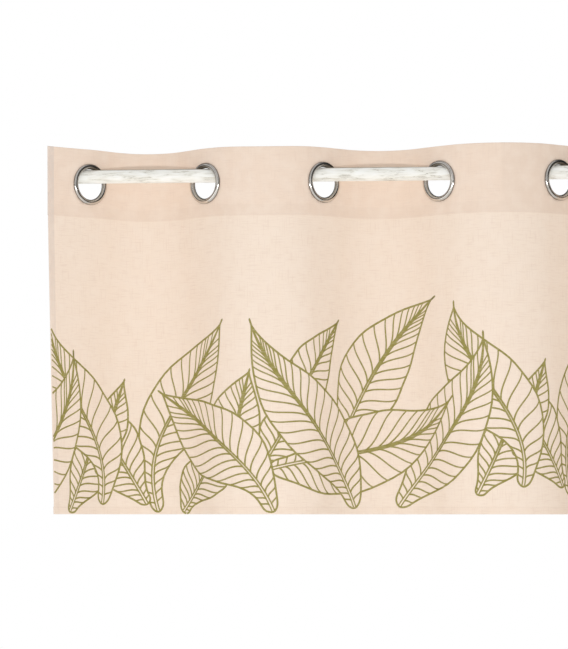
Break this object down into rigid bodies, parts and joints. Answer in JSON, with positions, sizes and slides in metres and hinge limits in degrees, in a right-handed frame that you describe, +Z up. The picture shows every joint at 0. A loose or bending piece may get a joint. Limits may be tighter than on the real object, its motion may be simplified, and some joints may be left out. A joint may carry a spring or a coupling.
{
  "type": "eyelet curtain and rod",
  "caption": "Short cotton eyelet curtain hanging in even waves from a round wooden rod, with a leaf frieze above its hem.",
  "frame": {"origin": "middle of the rod's left end face", "axes": "+X along the rod to its right end, +Z up, and the front of the cloth faces -Y"},
  "size_m": [1.1792, 0.1006, 0.4871],
  "materials": {
    "cotton": "matt slubby plain weave in warm beige, printed with olive green leaf outlines",
    "whitewashed_wood": "whitewashed softwood with thin grey-brown grain lines",
    "eyelet_metal": "polished, slightly warm"
  },
  "bodies": {
    "root": {"heading_strip": "cotton", "curtain_panel": "cotton", "rod": "whitewashed_wood", "eyelet_front_1": "eyelet_metal", "eyelet_front_2": "eyelet_metal", "eyelet_front_3": "eyelet_metal", "eyelet_front_4": "eyelet_metal", "eyelet_front_5": "eyelet_metal", "eyelet_front_6": "eyelet_metal", "eyelet_front_7": "eyelet_metal", "eyelet_front_8": "eyelet_metal", "eyelet_back_1": "eyelet_metal", "eyelet_back_2": "eyelet_metal", "eyelet_back_3": "eyelet_metal", "eyelet_back_4": "eyelet_metal", "eyelet_back_5": "eyelet_metal", "eyelet_back_6": "eyelet_metal", "eyelet_back_7": "eyelet_metal", "eyelet_back_8": "eyelet_metal"}
  },
  "joints": []
}
